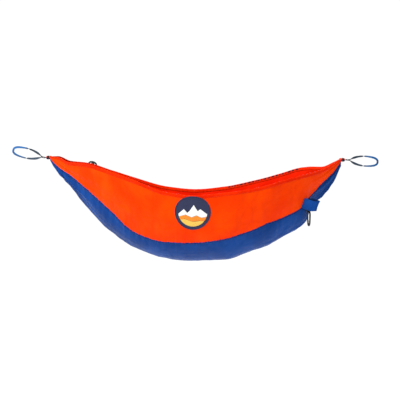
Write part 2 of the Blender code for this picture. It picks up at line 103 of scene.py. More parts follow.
HEM_WIDTH = 0.0155
HEM_SHARE = 0.25  # of the cloth from the seam to the rim, at most
HEM_HALF = (  # the outer half of a hem's section: down from the rim, and outwards
    (HEM_WIDTH, 0.0003), (HEM_WIDTH, 0.0010), (HEM_WIDTH * 0.66, 0.0013),
    (HEM_WIDTH * 0.30, 0.0013), (0.0010, 0.0012), (-0.0004, 0.0007),
)
HEM_PROFILE = (*HEM_HALF, (-0.0007, 0.0), *[(d, -h) for d, h in reversed(HEM_HALF)])
LAP_WIDTH = 0.0095
LAP_SHARE = 0.20  # of the cloth from the keel to the seam, at most
LAP_PROFILE = (
    (-0.0006, 0.0002), (-0.0006, 0.0009), (LAP_WIDTH * 0.5, 0.0012),
    (LAP_WIDTH, 0.0009), (LAP_WIDTH, 0.0002),
)
STITCH_REACH = 0.675  # the stitches run from -x to x
STITCH_PITCH = 0.0042
STITCH_LENGTH = 0.0030
THREAD = 0.00034

TRIM_FROM, TRIM_TO = 0.158, 0.498
BAR_LENGTHS = (0.0105, 0.0060, 0.0080, 0.0060, 0.0150, 0.0105, 0.0150)
BAR_GAP = 0.0062
BAR_LOW, BAR_HIGH = 0.0082, 0.0012  # below the rim

BADGE_RADIUS = 0.0845
BADGE_INNER = 0.80  # of the radius, inside the border
BADGE_X = -0.012
BADGE_DROP = 0.0875
# Lines across the badge, along X and up, as shares of its inner radius.
RIDGE = (
    *((-1.0, -0.10), (-0.62, 0.28), (-0.38, 0.02), (-0.22, 0.18)),
    *((0.06, 0.62), (0.34, 0.16), (0.52, 0.30), (1.0, -0.12)),
)
SNOW_FOOT = ((-1.0, -0.30), (-0.5, -0.12), (-0.1, -0.30), (0.25, -0.16), (0.6, -0.34), (1.0, -0.30))
FIELD_EDGE = ((-1.0, -0.52), (-0.55, -0.44), (0.0, -0.62), (0.5, -0.56), (1.0, -0.66))
BADGE_BOTTOM = ((-1.0, -1.0), (1.0, -1.0))

END_LENGTH = 0.016
END_RADIUS = 0.0080
END_TIP_RADIUS = 0.0060
CORD_RADIUS = 0.0020
WHIP_RADIUS = 0.0011
WHIP_TURNS = 4
KNOT_RADIUS = 0.0021
EYE_HALF_WIDTH = 0.0100
BUNCH_SECTIONS = (  # along the gathered end, radius, and depth of its pleats
    (-0.0100, 0.0072, 0.05), (-0.0050, 0.0080, 0.10), (0.0000, 0.0080, 0.14),
    (0.0035, 0.0069, 0.16), (0.0080, 0.0062, 0.16), (0.0125, 0.0060, 0.16),
    (0.0150, 0.0066, 0.20), (0.0162, 0.0069, 0.22), (0.0163, 0.0030, 0.20),
)

WEBBING_WIDTH = 0.012
WEBBING_THICKNESS = 0.0012
# Half of a loop: along it, across it, and its webbing's twist in degrees.
LOOP_HALF = (
    (-0.0030, 0.0000, 90), (-0.0021, 0.0021, 90), (0.0000, 0.0030, 90),
    (0.0060, 0.0016, 90), (0.0120, 0.0014, 88), (0.0200, 0.0055, 66),
    (0.0360, 0.0135, 30), (0.0560, 0.0195, 42), (0.0740, 0.0224, 58),
    (0.0840, 0.0230, 116), (0.0980, 0.0228, 126), (0.1200, 0.0205, 138),
    (0.1360, 0.0160, 145), (0.1450, 0.0090, 145), (0.1470, 0.0030, 145),
)
BAND_FROM, BAND_TO = 0.0048, 0.0165  # the thread wound round its two legs
BINDING_THREAD = 0.00042

RING_ROD = 0.0040
RING_LINE = (
    (-0.0190, 0.0135), (-0.0175, 0.0065), (-0.0135, 0.0015), (-0.0085, 0.0000),
    (0.0085, 0.0000), (0.0135, 0.0015), (0.0178, 0.0065), (0.0193, 0.0140),
    (0.0188, 0.0260), (0.0162, 0.0480), (0.0125, 0.0585), (0.0065, 0.0645),
    (0.0000, 0.0660), (-0.0065, 0.0640), (-0.0122, 0.0575), (-0.0148, 0.0515),
    (-0.0153, 0.0470),
)
GATE_NOSE = (-0.0190, 0.0155)
GATE_ROD = 0.0036
GATE_LAP = 0.0010  # over the ring's nose
PRONG_RADIUS, PRONG_LENGTH = 0.0030, 0.0069
KEEPER_WIDTH = 0.0152
KEEPER_THICKNESS = 0.0014
KEEPER_CLEARANCE = 0.0006
TACK_RISE = 0.80  # of the way up to the root
TACK_THREAD = 0.00032
# Where the keepers are sewn on: x, w round the trough or drop from the rim, and lift off the cloth.
RIGHT_ROOT_X, RIGHT_ROOT_W, RIGHT_ROOT_LIFT = 0.512, -0.6050, 0.0035
LEFT_ROOT_DROP, LEFT_ROOT_LIFT = 0.012, 0.0054

TAB_ROOT = Vector((0.507, -0.0925, -0.2165))
TAB_WIDTH = 0.050
TAB_TILT = math.radians(-20)
TAB_CLOTH = 0.0012
TAB_RAISE = 0.0110  # how far the tab's rear layer stands above its front one
TAB_LINE = (
    (0.000, 0.0032), (0.012, 0.0105), (0.036, 0.0160), (0.060, 0.0155),
    (0.069, 0.0135), (0.072, 0.0105), (0.069, 0.0080), (0.060, 0.0067),
    (0.036, 0.0065), (0.012, 0.0040), (0.001, 0.0007),
)

# ---------- camera, lights and floor

TARGET = Vector((0.0214, 0.0, -0.209))
VIEW_DISTANCE = 12.0
VIEW_HEIGHT = 1.9  # of what the camera takes in at the hammock
ELEVATION = math.radians(3.5)
FLOOR_Z = -1.6


def new_object(name, data):
    made = bpy.data.objects.new(name, data)
    bpy.context.scene.collection.objects.link(made)
    return made


def make_camera():
    data = bpy.data.cameras.new("camera")
    data.sensor_width = 36.0
    data.lens = 36.0 * VIEW_DISTANCE / VIEW_HEIGHT
    data.clip_end = 200.0
    camera = new_object("camera", data)
    away = Vector((0, -math.cos(ELEVATION), math.sin(ELEVATION)))
    camera.location = TARGET + away * VIEW_DISTANCE
    camera.rotation_euler = (math.pi / 2 - ELEVATION, 0, 0)
    bpy.context.scene.camera = camera


def softbox(name, place, size, energy):
    data = bpy.data.lights.new(name, "AREA")
    data.shape = "SQUARE"
    data.size = size
    data.energy = energy
    light = new_object(name, data)
    light.location = place
    light.rotation_euler = (TARGET - Vector(place)).to_track_quat("-Z", "Y").to_euler()


def make_studio():
    make_camera()
    softbox("key", (-2.8, -2.2, 3.0), 1.3, 430)
    softbox("fill", (3.0, -3.0, 0.6), 2.2, 24)
    softbox("back", (0.8, 3.0, 2.4), 2.0, 90)
    world = bpy.data.worlds.new("studio")
    world.use_nodes = True
    backdrop = world.node_tree.nodes["Background"]
    backdrop.inputs["Color"].default_value = (1.0, 1.0, 1.0, 1.0)
    backdrop.inputs["Strength"].default_value = 1.06
    bpy.context.scene.world = world
    bpy.context.scene.view_settings.view_transform = "Standard"

    corners = [(x * 40.0, y * 40.0, FLOOR_Z) for x, y in ((-1, -1), (1, -1), (1, 1), (-1, 1))]
    mesh = bpy.data.meshes.new("floor")
    mesh.from_pydata(corners, [], [(0, 1, 2, 3)])
    paint = bpy.data.materials.new("floor_paint")
    paint.use_nodes = True
    shader = paint.node_tree.nodes["Principled BSDF"]
    shader.inputs["Base Color"].default_value = (0.97, 0.97, 0.97, 1.0)
    shader.inputs["Roughness"].default_value = 1.0
    shader.inputs["Specular IOR Level"].default_value = 0.0
    mesh.materials.append(paint)
    new_object("floor", mesh)


# ---------- materials


class Nodes:
    """A material's node tree, with short calls for the nodes used here."""

    def __init__(self, name):
        self.material = bpy.data.materials.new(name)
        self.material.use_nodes = True
        self.tree = self.material.node_tree
        self.shader = self.tree.nodes["Principled BSDF"]

    def add(self, kind, inputs=None, **settings):
        node = self.tree.nodes.new(kind)
        for key, value in settings.items():
            setattr(node, key, value)
        for key, value in (inputs or {}).items():
            self.put(node, key, value)
        return node

    def put(self, node, key, value):
        if isinstance(value, bpy.types.NodeSocket):
            self.tree.links.new(value, node.inputs[key])
        else:
            node.inputs[key].default_value = value

    def math(self, operation, a, b=0.0, c=0.0, clamp=False):
        node = self.add("ShaderNodeMath", {0: a, 1: b, 2: c}, operation=operation, use_clamp=clamp)
        return node.outputs[0]

    def cloth_place(self):
        """The cloth's own coordinates in metres, along and across, as the mesh's UV map."""
        place = self.add("ShaderNodeUVMap", uv_map="cloth").outputs["UV"]
        parts = self.add("ShaderNodeSeparateXYZ", {0: place})
        return place, parts.outputs[0], parts.outputs[1]

    def noise(self, place, scale, detail=3.0, roughness=0.5):
        inputs = {"Vector": place, "Scale": scale, "Detail": detail, "Roughness": roughness}
        return self.add("ShaderNodeTexNoise", inputs).outputs["Fac"]

    def cells(self, place, scale, width):
        """0 on the edges of uneven cells, and 1 from this far inside them."""
        inputs = {"Vector": place, "Scale": scale}
        node = self.add("ShaderNodeTexVoronoi", inputs, feature="DISTANCE_TO_EDGE")
        return self.ramp(node.outputs[0], 0.0, width)

    def waves(self, place, scale, **inputs):
        inputs = {key.replace("_", " "): value for key, value in inputs.items()}
        inputs.update(Vector=place, Scale=scale)
        return self.add("ShaderNodeTexWave", inputs, bands_direction="X").outputs["Fac"]

    def ramp(self, value, low, high):
        """value taken from low..high to 0..1, smoothly."""
        inputs = {0: value, 1: low, 2: high}
        return self.add("ShaderNodeMapRange", inputs, interpolation_type="SMOOTHSTEP").outputs[0]

    def blend(self, share, a, b):
        return self.add("ShaderNodeMix", {0: share, 6: a, 7: b}, data_type="RGBA").outputs[2]

    def lines(self, along, pitch, width):
        """1 on thin lines a pitch apart, 0 between them."""
        phase = self.math("PINGPONG", along, pitch / 2)
        return self.math("SUBTRACT", 1.0, self.ramp(phase, width * 0.3, width), clamp=True)

    def bump(self, height, distance, strength=1.0, under=None):
        inputs = {"Height": height, "Distance": distance, "Strength": strength}
        if under is not None:
            inputs["Normal"] = under
        return self.add("ShaderNodeBump", inputs).outputs[0]

    def finish(self, colour, roughness, normal=None, **sockets):
        self.put(self.shader, "Base Color", colour)
        self.put(self.shader, "Roughness", roughness)
        if normal is not None:
            self.put(self.shader, "Normal", normal)
        for key, value in sockets.items():
            self.put(self.shader, key.replace("_", " "), value)
        return self.material


def rgba(colour, scale=1.0):
    return (*[min(1.0, c * scale) for c in colour], 1.0)


def nylon(name, colour, shade, crease=1.0):
    """Ripstop nylon: a fine grid in the weave, packing creases with painted shade along them, and a soft
    sheen.
    """
    m = Nodes(name)
    place, along, across = m.cloth_place()
    grid = m.math("MAXIMUM", m.lines(along, 0.005, 0.0005), m.lines(across, 0.005, 0.0005))
    fine = m.noise(place, 60.0, 4.0, 0.6)
    folds, wide_folds = m.cells(place, 17.0, 0.16), m.cells(place, 6.5, 0.10)
    tone = m.blend(m.ramp(m.noise(place, 7.0), 0.3, 0.7), rgba(colour), rgba(shade))
    # Painted shade: the cloth is darkened along the crease lines.
    tone = m.blend(m.math("MULTIPLY", m.math("SUBTRACT", 1.0, folds), 0.16), tone, rgba(shade, 0.8))
    tone = m.blend(m.math("MULTIPLY", grid, 0.18), tone, rgba(shade, 0.72))
    normal = m.bump(folds, 0.0006 * crease, 0.7)
    normal = m.bump(wide_folds, 0.0010 * crease, 0.6, normal)
    normal = m.bump(fine, 0.0009 * crease, 0.55, normal)
    normal = m.bump(grid, 0.00012, 0.6, normal)
    return m.finish(
        tone,
        m.math("MULTIPLY_ADD", fine, 0.16, 0.42),
        normal,
        Sheen_Weight=0.04,
        Sheen_Tint=rgba(colour),
        Specular_IOR_Level=0.10,
        Specular_Tint=rgba(colour, 1.5),
    )


def webbing(name, colour, shade, root=None):
    """Flat woven tape, with painted shade between its ribs. Its ribs run across it, and root is its
    colour towards u = 0.
    """
    m = Nodes(name)
    place, _, across = m.cloth_place()
    ribs = m.waves(place, 260.0, Distortion=0.6, Detail=1.0)
    cords = m.math("MULTIPLY", m.math("PINGPONG", across, 0.0008), 1250.0)
    weave = m.math("MULTIPLY", ribs, m.math("MULTIPLY_ADD", cords, 0.6, 0.4))
    # Painted shade: the tape is darkened in the hollows of its weave.
    tone = m.blend(m.math("MULTIPLY", weave, 0.45), rgba(shade), rgba(colour))
    if root is not None:
        split = m.add("ShaderNodeAttribute", attribute_name="share").outputs["Fac"]
        tone = m.blend(m.ramp(split, 0.50, 0.72), rgba(root), tone)
    tone = m.blend(m.math("MULTIPLY", m.noise(place, 90.0), 0.25), tone, rgba(shade, 0.7))
    normal = m.bump(weave, 0.00025, 0.8)
    return m.finish(tone, 0.62, normal, Specular_IOR_Level=0.15)


def thread(name, colour, pitch=0.0009):
    """Twisted thread or cord, with its strands at a slant and painted shade in the grooves between them.
    """
    m = Nodes(name)
    place, along, across = m.cloth_place()
    slant = m.math("ADD", m.math("DIVIDE", along, pitch), across)
    strands = m.math("MULTIPLY", m.math("PINGPONG", slant, 0.5), 2.0)
    # Painted shade: darker in the grooves between the strands.
    tone = m.blend(m.ramp(strands, 0.0, 0.5), rgba(colour, 0.55), rgba(colour))
    tone = m.blend(m.math("MULTIPLY", m.noise(place, 400.0), 0.2), tone, rgba(colour, 1.6))
    normal = m.bump(strands, pitch * 0.35, 0.8)
    return m.finish(tone, 0.6, normal, Specular_IOR_Level=0.08)


def embroidery(name, colour, angle):
    """Satin stitch: close parallel threads at this angle, in degrees, with painted shade between them.
    """
    m = Nodes(name)
    place, _, _ = m.cloth_place()
    turned = m.add("ShaderNodeMapping", {"Vector": place, "Rotation": (0, 0, math.radians(angle))})
    rows = m.waves(turned.outputs[0], 330.0, Distortion=1.2, Detail=2.0, Detail_Scale=3.0)
    # Painted shade: darker in the hollows between the rows of thread.
    tone = m.blend(m.math("MULTIPLY", rows, 0.5), rgba(colour, 0.78), rgba(colour, 1.06))
    tone = m.blend(m.math("MULTIPLY", m.noise(place, 55.0), 0.16), tone, rgba(colour, 0.8))
    normal = m.bump(rows, 0.0002, 0.8)
    return m.finish(tone, 0.58, normal, Specular_IOR_Level=0.12)


def moulded(name, colour):
    """Moulded plastic with a fine grain and rubbed patches."""
    m = Nodes(name)
    place = m.add("ShaderNodeTexCoord").outputs["Object"]
    grain = m.noise(place, 1600.0, 2.0)
    rubbed = m.ramp(m.noise(place, 70.0, 4.0), 0.52, 0.70)
    tone = m.blend(m.math("MULTIPLY", rubbed, 0.5), rgba(colour), rgba(colour, 2.2))
    roughness = m.math("MULTIPLY_ADD", rubbed, 0.14, 0.30)
    normal = m.bump(grain, 0.00006, 0.6)
    return m.finish(tone, roughness, normal, Specular_IOR_Level=0.24)


def brushed(name, colour):
    m = Nodes(name)
    marks = m.noise(m.add("ShaderNodeTexCoord").outputs["Object"], 2600.0, 2.0)
    tone = m.blend(marks, rgba(colour, 0.8), rgba(colour))
    roughness = m.math("MULTIPLY_ADD", marks, 0.2, 0.22)
    return m.finish(tone, roughness, m.bump(marks, 0.00003, 0.5), Metallic=1.0)


# ---------- the trough's shape


def slopes_of(column):
    """The slopes at the stations: a harmonic mean of both sides, or 0 at a turn."""
    spans = np.diff(STATIONS[:, column]) / np.diff(STATIONS[:, 0])
    product, total = spans[:-1] * spans[1:], spans[:-1] + spans[1:]
    inner = np.where(product > 0, 2 * product / np.where(total == 0, 1, total), 0.0)
    return np.concatenate(([spans[0]], inner, [spans[-1]]))


SLOPES = {column: slopes_of(column) for column in range(1, 6)}


def station(x, column):
    """One of the stations' columns at every x, with no overshoot between stations."""
    x = np.clip(x, FIRST_X, LAST_X)
    i = np.clip(np.searchsorted(STATIONS[:, 0], x, side="left") - 1, 0, len(STATIONS) - 2)
    width = STATIONS[i + 1, 0] - STATIONS[i, 0]
    t = (x - STATIONS[i, 0]) / width
    a, b = STATIONS[i, column], STATIONS[i + 1, column]
    m, n = SLOPES[column][i] * width, SLOPES[column][i + 1] * width
    return (
        a * (2 * t**3 - 3 * t**2 + 1)
        + m * (t**3 - 2 * t**2 + t)
        + b * (3 * t**2 - 2 * t**3)
        + n * (t**3 - t**2)
    )


def smooth_hull(x, w):
    """The trough with no folds. w runs round a section: -1 front rim, 0 keel, 1 back rim."""
    x, w = np.broadcast_arrays(np.asarray(x, float), np.asarray(w, float))
    rim = np.where(w < 0, station(x, 1), station(x, 2))
    keel, half = station(x, 4), station(x, 5)
    angle = np.abs(w) * RIM_ANGLE
    across = np.sign(w) * half * np.sin(angle) / math.sin(RIM_ANGLE)
    up = (rim - keel) * (1 - np.cos(angle)) / (1 - math.cos(RIM_ANGLE))
    return np.stack((x, across, keel + up), axis=-1)


def unit(v):
    return v / np.maximum(np.linalg.norm(v, axis=-1, keepdims=True), 1e-12)


def smooth_normal(x, w):
    """Away from the trough's inside."""
    along = smooth_hull(x + 1e-4, w) - smooth_hull(x - 1e-4, w)
    around = smooth_hull(x, w + 1e-3) - smooth_hull(x, w - 1e-3)
    return unit(np.cross(around, along))


def speed(x, w):
    """Metres of cloth for each unit of w."""
    step = smooth_hull(x, w + 1e-3) - smooth_hull(x, w - 1e-3)
    return np.linalg.norm(step, axis=-1) / 2e-3


def seam_w(x, side):
    """The seam's place round each section. Its sewing wanders by a millimetre or two."""
    rim = station(x, 1) if side < 0 else station(x, 2)
    share = (station(x, 3) - station(x, 4)) / (rim - station(x, 4))
    straight = side * np.arccos(1 - share * (1 - math.cos(RIM_ANGLE))) / RIM_ANGLE
    flat = np.ravel(x)
    wander = [noise.noise((a * 9, side, 2.0)) + 0.45 * noise.noise((a * 42, side, 6.0)) for a in flat]
    room = np.clip(station(x, 5) / 0.12, 0.0, 1.0)
    return straight + 0.0030 * room * np.array(wander).reshape(np.shape(x)) / speed(x, straight)


def ripple(x, pitch, seed):
    """An uneven wave along X, about a pitch long."""
    phase = [2 * math.pi * a / pitch + 2.4 * noise.noise((a * 18, seed, 0.0)) for a in np.ravel(x)]
    swell = [0.65 + 0.6 * noise.noise((a * 31, seed, 5.0)) for a in np.ravel(x)]
    return (np.sin(phase) * swell).reshape(np.shape(x))


def field(x, w, x_scale, w_scale, seed):
    """Smooth noise over the cloth."""
    flat = [noise.noise((a * x_scale, b * w_scale, seed)) for a, b in zip(np.ravel(x), np.ravel(w))]
    return np.array(flat).reshape(np.shape(x))


def folds(x, w):
    """How far the cloth stands out from the smooth trough, in metres."""
    x, w = (a.copy() for a in np.broadcast_arrays(np.asarray(x, float), np.asarray(w, float)))
    room = np.clip(station(x, 5) / 0.045, 0.12, 1.0)
    height = np.zeros(x.shape)
    wander = 0.9 * field(x, w, 5.0, 2.5, 3.0)
    for end, seed in ((FIRST_X, 11.0), (LAST_X, 27.0)):
        away = np.abs(x - end)
        for count, reach, depth in GATHERS:
            wave = np.sin(math.pi * count * w + wander * 2 + seed * count)
            pleat = np.sign(wave) * np.abs(wave) ** 0.75
            height += pleat * depth * room * np.exp(-((away / reach) ** 1.3))
    height += room * 0.0050 * field(x, w, 3.2, 1.9, 1.0)
    height += room * 0.0032 * field(x, w, 7.5, 4.2, 8.0)
    height += room * 0.0022 * field(x + 0.05 * w, w, 24.0, 2.6, 33.0)
    height += room * 0.0014 * np.abs(field(x - 0.12 * w, w, 14.0, 7.0, 15.0))
    for side in (-1.0, 1.0):
        metres = np.abs(w - seam_w(x, side)) * speed(x, w)
        height += room * 0.0013 * ripple(x, 0.0135, 40.0 + side) * np.exp(-metres / 0.013)
        below = np.where(np.abs(w) < np.abs(seam_w(x, side)), 1.0, 0.55)
        height += room * below * 0.0021 * ripple(x, 0.031, 80.0 + side) * np.exp(-metres / 0.045)
        metres = np.abs(w - side) * speed(x, w)
        height += room * 0.0008 * ripple(x, 0.019, 60.0 + side) * np.exp(-metres / 0.016)
    calm = np.zeros(x.shape)
    for flat_x, flat_w in ((LEFT_BAR[0], 1.0), (RIGHT_ROOT_X, float(seam_w(RIGHT_ROOT_X, -1.0)))):
        metres = (w - flat_w) * speed(x, w)
        calm += np.exp(-(((x - flat_x) / FLAT_REACH) ** 2) - (metres / FLAT_REACH) ** 2)
    return height * (1 - 0.9 * calm) - 0.0006 - 0.0012 * calm


def cloth(x, w, lift=0.0):
    """A point of the folded cloth, lifted outwards from it."""
    x, w = np.broadcast_arrays(np.asarray(x, float), np.asarray(w, float))
    return smooth_hull(x, w) + smooth_normal(x, w) * (folds(x, w) + lift)[..., None]


def below_rim(x, side, distance):
    """w at this distance down the cloth from a rim, for each x and distance."""
    x, distance = (a.astype(float) for a in np.broadcast_arrays(x, distance))
    t, left = np.ones(x.shape), distance.copy()
    step = 0.005
    for _ in range(int(1 / step)):
        length = speed(x, side * t) * step
        share = np.clip(left / length, 0, 1)
        t, left = t - share * step, left - share * length
    return side * t


# ---------- mesh tools


def mesh_object(name, parts, finish, *nodes, body="hammock"):
    """A mesh of (points, faces, uvs) that rides on a body and stands for these CAD nodes. Each
    point has one uv, in metres."""
    points, faces, uvs = parts
    slot, material = FINISHES[finish]
    mesh = bpy.data.meshes.new(name)
    mesh.from_pydata(points, [], faces)
    layer = mesh.uv_layers.new(name="cloth")
    corners = np.empty(len(mesh.loops), dtype=np.int32)
    mesh.loops.foreach_get("vertex_index", corners)
    layer.data.foreach_set("uv", np.asarray(uvs, dtype=np.float32)[corners].ravel())
    mesh.shade_smooth()
    mesh.materials.append(material)
    made = new_object(name, mesh)
    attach(made, body)
    if nodes:
        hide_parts(*nodes)
    return made


def thicken(sheet, thickness, inner_finish):
    """Gives a sheet its thickness, and another finish on its inner face."""
    sheet.data.materials.append(FINISHES[inner_finish][1])
    shell = sheet.modifiers.new("thickness", "SOLIDIFY")
    shell.thickness = thickness
    shell.offset = 0.0
    shell.material_offset = 1


def grid_parts(points, uvs, wrap_rows=False, wrap_columns=False, capped=False):
    """A grid's (points, faces, uvs). Capped fills its first and last rows."""
    points, uvs = np.asarray(points), np.asarray(uvs)
    rows, columns = points.shape[:2]
    i, j = np.meshgrid(
        np.arange(rows if wrap_rows else rows - 1),
        np.arange(columns if wrap_columns else columns - 1),
        indexing="ij",
    )
    down, right = (i + 1) % rows, (j + 1) % columns
    corners = (i * columns + j, down * columns + j, down * columns + right, i * columns + right)
    faces = np.stack(corners, axis=-1).reshape(-1, 4).tolist()
    if capped:
        last = (rows - 1) * columns
        faces.append(list(range(columns)))
        faces.append([last + k for k in reversed(range(columns))])
    return points.reshape(-1, 3), faces, uvs.reshape(-1, 2)


def paired(a, b):
    """Two arrays, spread to one shape, as places in the plane."""
    return np.stack(np.broadcast_arrays(a, b), axis=-1)


def arc_lengths(points):
    """Distance along each line of points, on the last axis but one."""
    steps = np.linalg.norm(np.diff(points, axis=-2), axis=-1)
    start = np.zeros((*steps.shape[:-1], 1))
    return np.concatenate((start, np.cumsum(steps, axis=-1)), axis=-1)


def smooth_line(points, per_span):
    """Points on a Catmull-Rom curve through these, per_span to each stretch."""
    p = np.asarray(points, float)
    p = np.vstack((2 * p[0] - p[1], p, 2 * p[-1] - p[-2]))
    t = (np.arange(per_span) / per_span)[:, None]
    found = []
    for a, b, c, d in zip(p, p[1:], p[2:], p[3:]):
        bend, turn = 2 * a - 5 * b + 4 * c - d, 3 * b - a - 3 * c + d
        found.append(0.5 * (2 * b + (c - a) * t + bend * t**2 + turn * t**3))
    found.append(p[-2:-1])
    return np.vstack(found)


def tangents(line, closed):
    if closed:
        return unit(np.roll(line, -1, axis=0) - np.roll(line, 1, axis=0))
    return unit(np.vstack((line[1:], line[-1:])) - np.vstack((line[:1], line[:-1])))


def round_steps(count):
    """Evenly spaced angles round a circle."""
    return np.arange(count) * 2 * math.pi / count


def tube_parts(line, radius, sides=12, closed=False):
    """A tube round a line. Its uvs are the distance along it and the share of a turn."""
    line = np.asarray(line, float)
    radii = np.broadcast_to(np.asarray(radius, float), (len(line),))[:, None, None]
    along = tangents(line, closed)
    up = np.empty_like(line)
    guide = np.array((0.0, 1.0, 0.0)) if abs(along[0][1]) < 0.9 else np.array((1.0, 0.0, 0.0))
    for i, ahead in enumerate(along):
        guide = unit(guide - ahead * np.dot(guide, ahead))
        up[i] = guide
    out = np.cross(along, up)
    angles = round_steps(sides)
    rings = line[:, None] + up[:, None] * (np.cos(angles)[:, None] * radii)
    rings = rings + out[:, None] * (np.sin(angles)[:, None] * radii)
    uvs = paired(arc_lengths(line)[:, None], angles / (2 * math.pi))
    return grid_parts(rings, uvs, wrap_rows=closed, wrap_columns=True, capped=not closed)


def dome(share, least):
    """The height of a quarter circle, a share of the way in from its foot."""
    return np.sqrt(1 - (1 - np.clip(share, least, 1)) ** 2)


def ribbon_parts(line, widths, width, thickness, closed=False):
    """A flat band with rounded edges round a line, with its width along widths."""
    line, widths = np.asarray(line, float), unit(np.asarray(widths, float))
    face = unit(np.cross(tangents(line, closed), widths))
    h, k = width / 2, thickness / 2
    bevel = k * 0.7
    flat = np.linspace(-h + bevel, h - bevel, 7)
    profile = [(a, k) for a in flat] + [(h, k * 0.4), (h, -k * 0.4)]
    profile += [(a, -k) for a in flat[::-1]] + [(-h, -k * 0.4), (-h, k * 0.4)]
    a, b = np.array(profile).T
    rings = line[:, None] + widths[:, None] * a[:, None] + face[:, None] * b[:, None]
    uvs = paired(arc_lengths(line)[:, None], a)
    return grid_parts(rings, uvs, wrap_rows=closed, wrap_columns=True, capped=not closed)


def lathe_parts(profile, start, axis, sides=28):
    """A turned solid: profile is (distance along the axis, radius)."""
    axis = unit(np.asarray(axis, float))
    side = np.array((0.0, 0.0, 1.0)) if abs(axis[2]) < 0.9 else np.array((1.0, 0.0, 0.0))
    up = unit(np.cross(axis, side))
    out = np.cross(axis, up)
    angles = round_steps(sides)
    spokes = np.cos(angles)[:, None] * up + np.sin(angles)[:, None] * out
    rings = [np.asarray(start, float) + axis * along + radius * spokes for along, radius in profile]
    uvs = paired(np.array([along for along, _ in profile])[:, None], angles / FULL_TURN)
    return grid_parts(rings, uvs, wrap_columns=True, capped=True)


def join_parts(parts):
    """Several (points, faces, uvs) as one."""
    points, faces, uvs, start = [], [], [], 0
    for p, f, u in parts:
        points.append(p)
        uvs.append(u)
        faces.extend([[k + start for k in face] for face in f])
        start += len(p)
    return np.vstack(points), faces, np.vstack(uvs)


# ---------- cloth panels


def panel(name, low, high, rows, finishes, *nodes):
    """A sheet of the trough and its area. low and high are its edges, each (edge, side)."""
    x = np.linspace(FIRST_X, LAST_X, COLUMNS)
    v = np.linspace(0, 1, rows)[:, None]
    w = low[0](x, low[1]) * (1 - v) + high[0](x, high[1]) * v
    xs = np.broadcast_to(x, w.shape)
    smooth = smooth_hull(xs, w)
    across = arc_lengths(np.swapaxes(smooth, 0, 1)).T
    uvs = paired(arc_lengths(smooth)[rows // 2], across - across[rows // 2])
    made = mesh_object(name, grid_parts(cloth(xs, w), uvs), finishes[0], *nodes)
    thicken(made, CLOTH, finishes[1])
    return made, float(np.mean(across[-1]) * np.mean(arc_lengths(smooth)[:, -1]))


def strip(name, side, edge, profile, scale, finish, *nodes):
    """A closed band along an edge of the cloth. profile lists how far each of its lines is
    from there towards the keel, in metres of cloth, and its lift. scale narrows it."""
    x = np.linspace(FIRST_X, LAST_X, COLUMNS)
    base = edge(x, side)
    rate, along = speed(x, base), arc_lengths(smooth_hull(x, base))
    lines = [cloth(x, base - side * d * scale(x, side) / rate, lift) for d, lift in profile]
    uvs = [paired(along, -side * d) for d, _ in profile]
    points, faces, uvs = grid_parts(lines, uvs, wrap_rows=True)
    starts = [k * COLUMNS for k in range(len(profile))]
    faces += [starts, [k + COLUMNS - 1 for k in reversed(starts)]]
    return mesh_object(name, (points, faces, uvs), finish, *nodes)


def stitches(name, side, edge, distance, lift, scale, finish):
    """A row of thread stitches, this far from an edge of the cloth towards the keel."""
    fine = np.linspace(-STITCH_REACH, STITCH_REACH, 3000)
    path = arc_lengths(smooth_hull(fine, edge(fine, side)))
    starts = np.arange(0, path[-1] - STITCH_PITCH, STITCH_PITCH)
    shares = np.array((0.0, 0.12, 0.5, 0.88, 1.0))
    depth = np.array((-0.6, 0.25, 0.6, 0.25, -0.6)) * THREAD
    girth = np.array((0.35, 0.9, 1.0, 0.9, 0.35))[:, None, None] * THREAD
    x = np.interp(starts[:, None] + shares * STITCH_LENGTH, path, fine)
    base = edge(x, side)
    w = base - side * distance * scale(x, side) / speed(x, base)
    normal = smooth_normal(x, w)
    centre = cloth(x, w) + normal * (lift + np.sign(lift) * depth)[..., None]
    along = unit(centre[:, -1:] - centre[:, :1])
    aside = np.cross(normal, np.broadcast_to(along, normal.shape))
    angles = round_steps(5)
    rings = centre[:, :, None] + normal[:, :, None] * (np.cos(angles)[:, None] * girth)
    rings = rings + aside[:, :, None] * (np.sin(angles)[:, None] * girth)
    uvs = paired((shares * STITCH_LENGTH)[:, None], angles / FULL_TURN)
    parts = [grid_parts(one, uvs, wrap_columns=True, capped=True) for one in rings]
    return mesh_object(name, join_parts(parts), finish)


def rim_w(x, side):
    return np.full(np.shape(x), side)


def hem_scale(x, side):
    """Narrows a hem where little cloth is left between the seam and the rim."""
    w = seam_w(x, side)
    arc = np.abs(side - w) * speed(x, (side + w) / 2)
    return np.minimum(1.0, HEM_SHARE * arc / HEM_WIDTH)


def lap_scale(x, side):
    """Narrows a lap where little cloth is left between the keel and the seam."""
    w = seam_w(x, side)
    return np.minimum(1.0, LAP_SHARE * np.abs(w) * speed(x, w / 2) / LAP_WIDTH)


def make_hem(name, side):
    """A rolled hem along a rim, and the two rows of stitches on each of its faces."""
    # The hem's darker, redder finish is painted shade.
    hem = (f"{name}_hem", side, rim_w, HEM_PROFILE, hem_scale, "orange_hem_painted_shade", f"{name}_rim_hem")
    made = [strip(*hem)]
    for face, lift in (("outer", 0.0014), ("inner", -0.0014)):
        for row, distance in (("low", HEM_WIDTH - 0.002), ("high", 0.0035)):
            sewn = f"{name}_hem_{face}_{row}_stitches"
            made.append(stitches(sewn, side, rim_w, distance, lift, hem_scale, "orange_thread"))
    return made


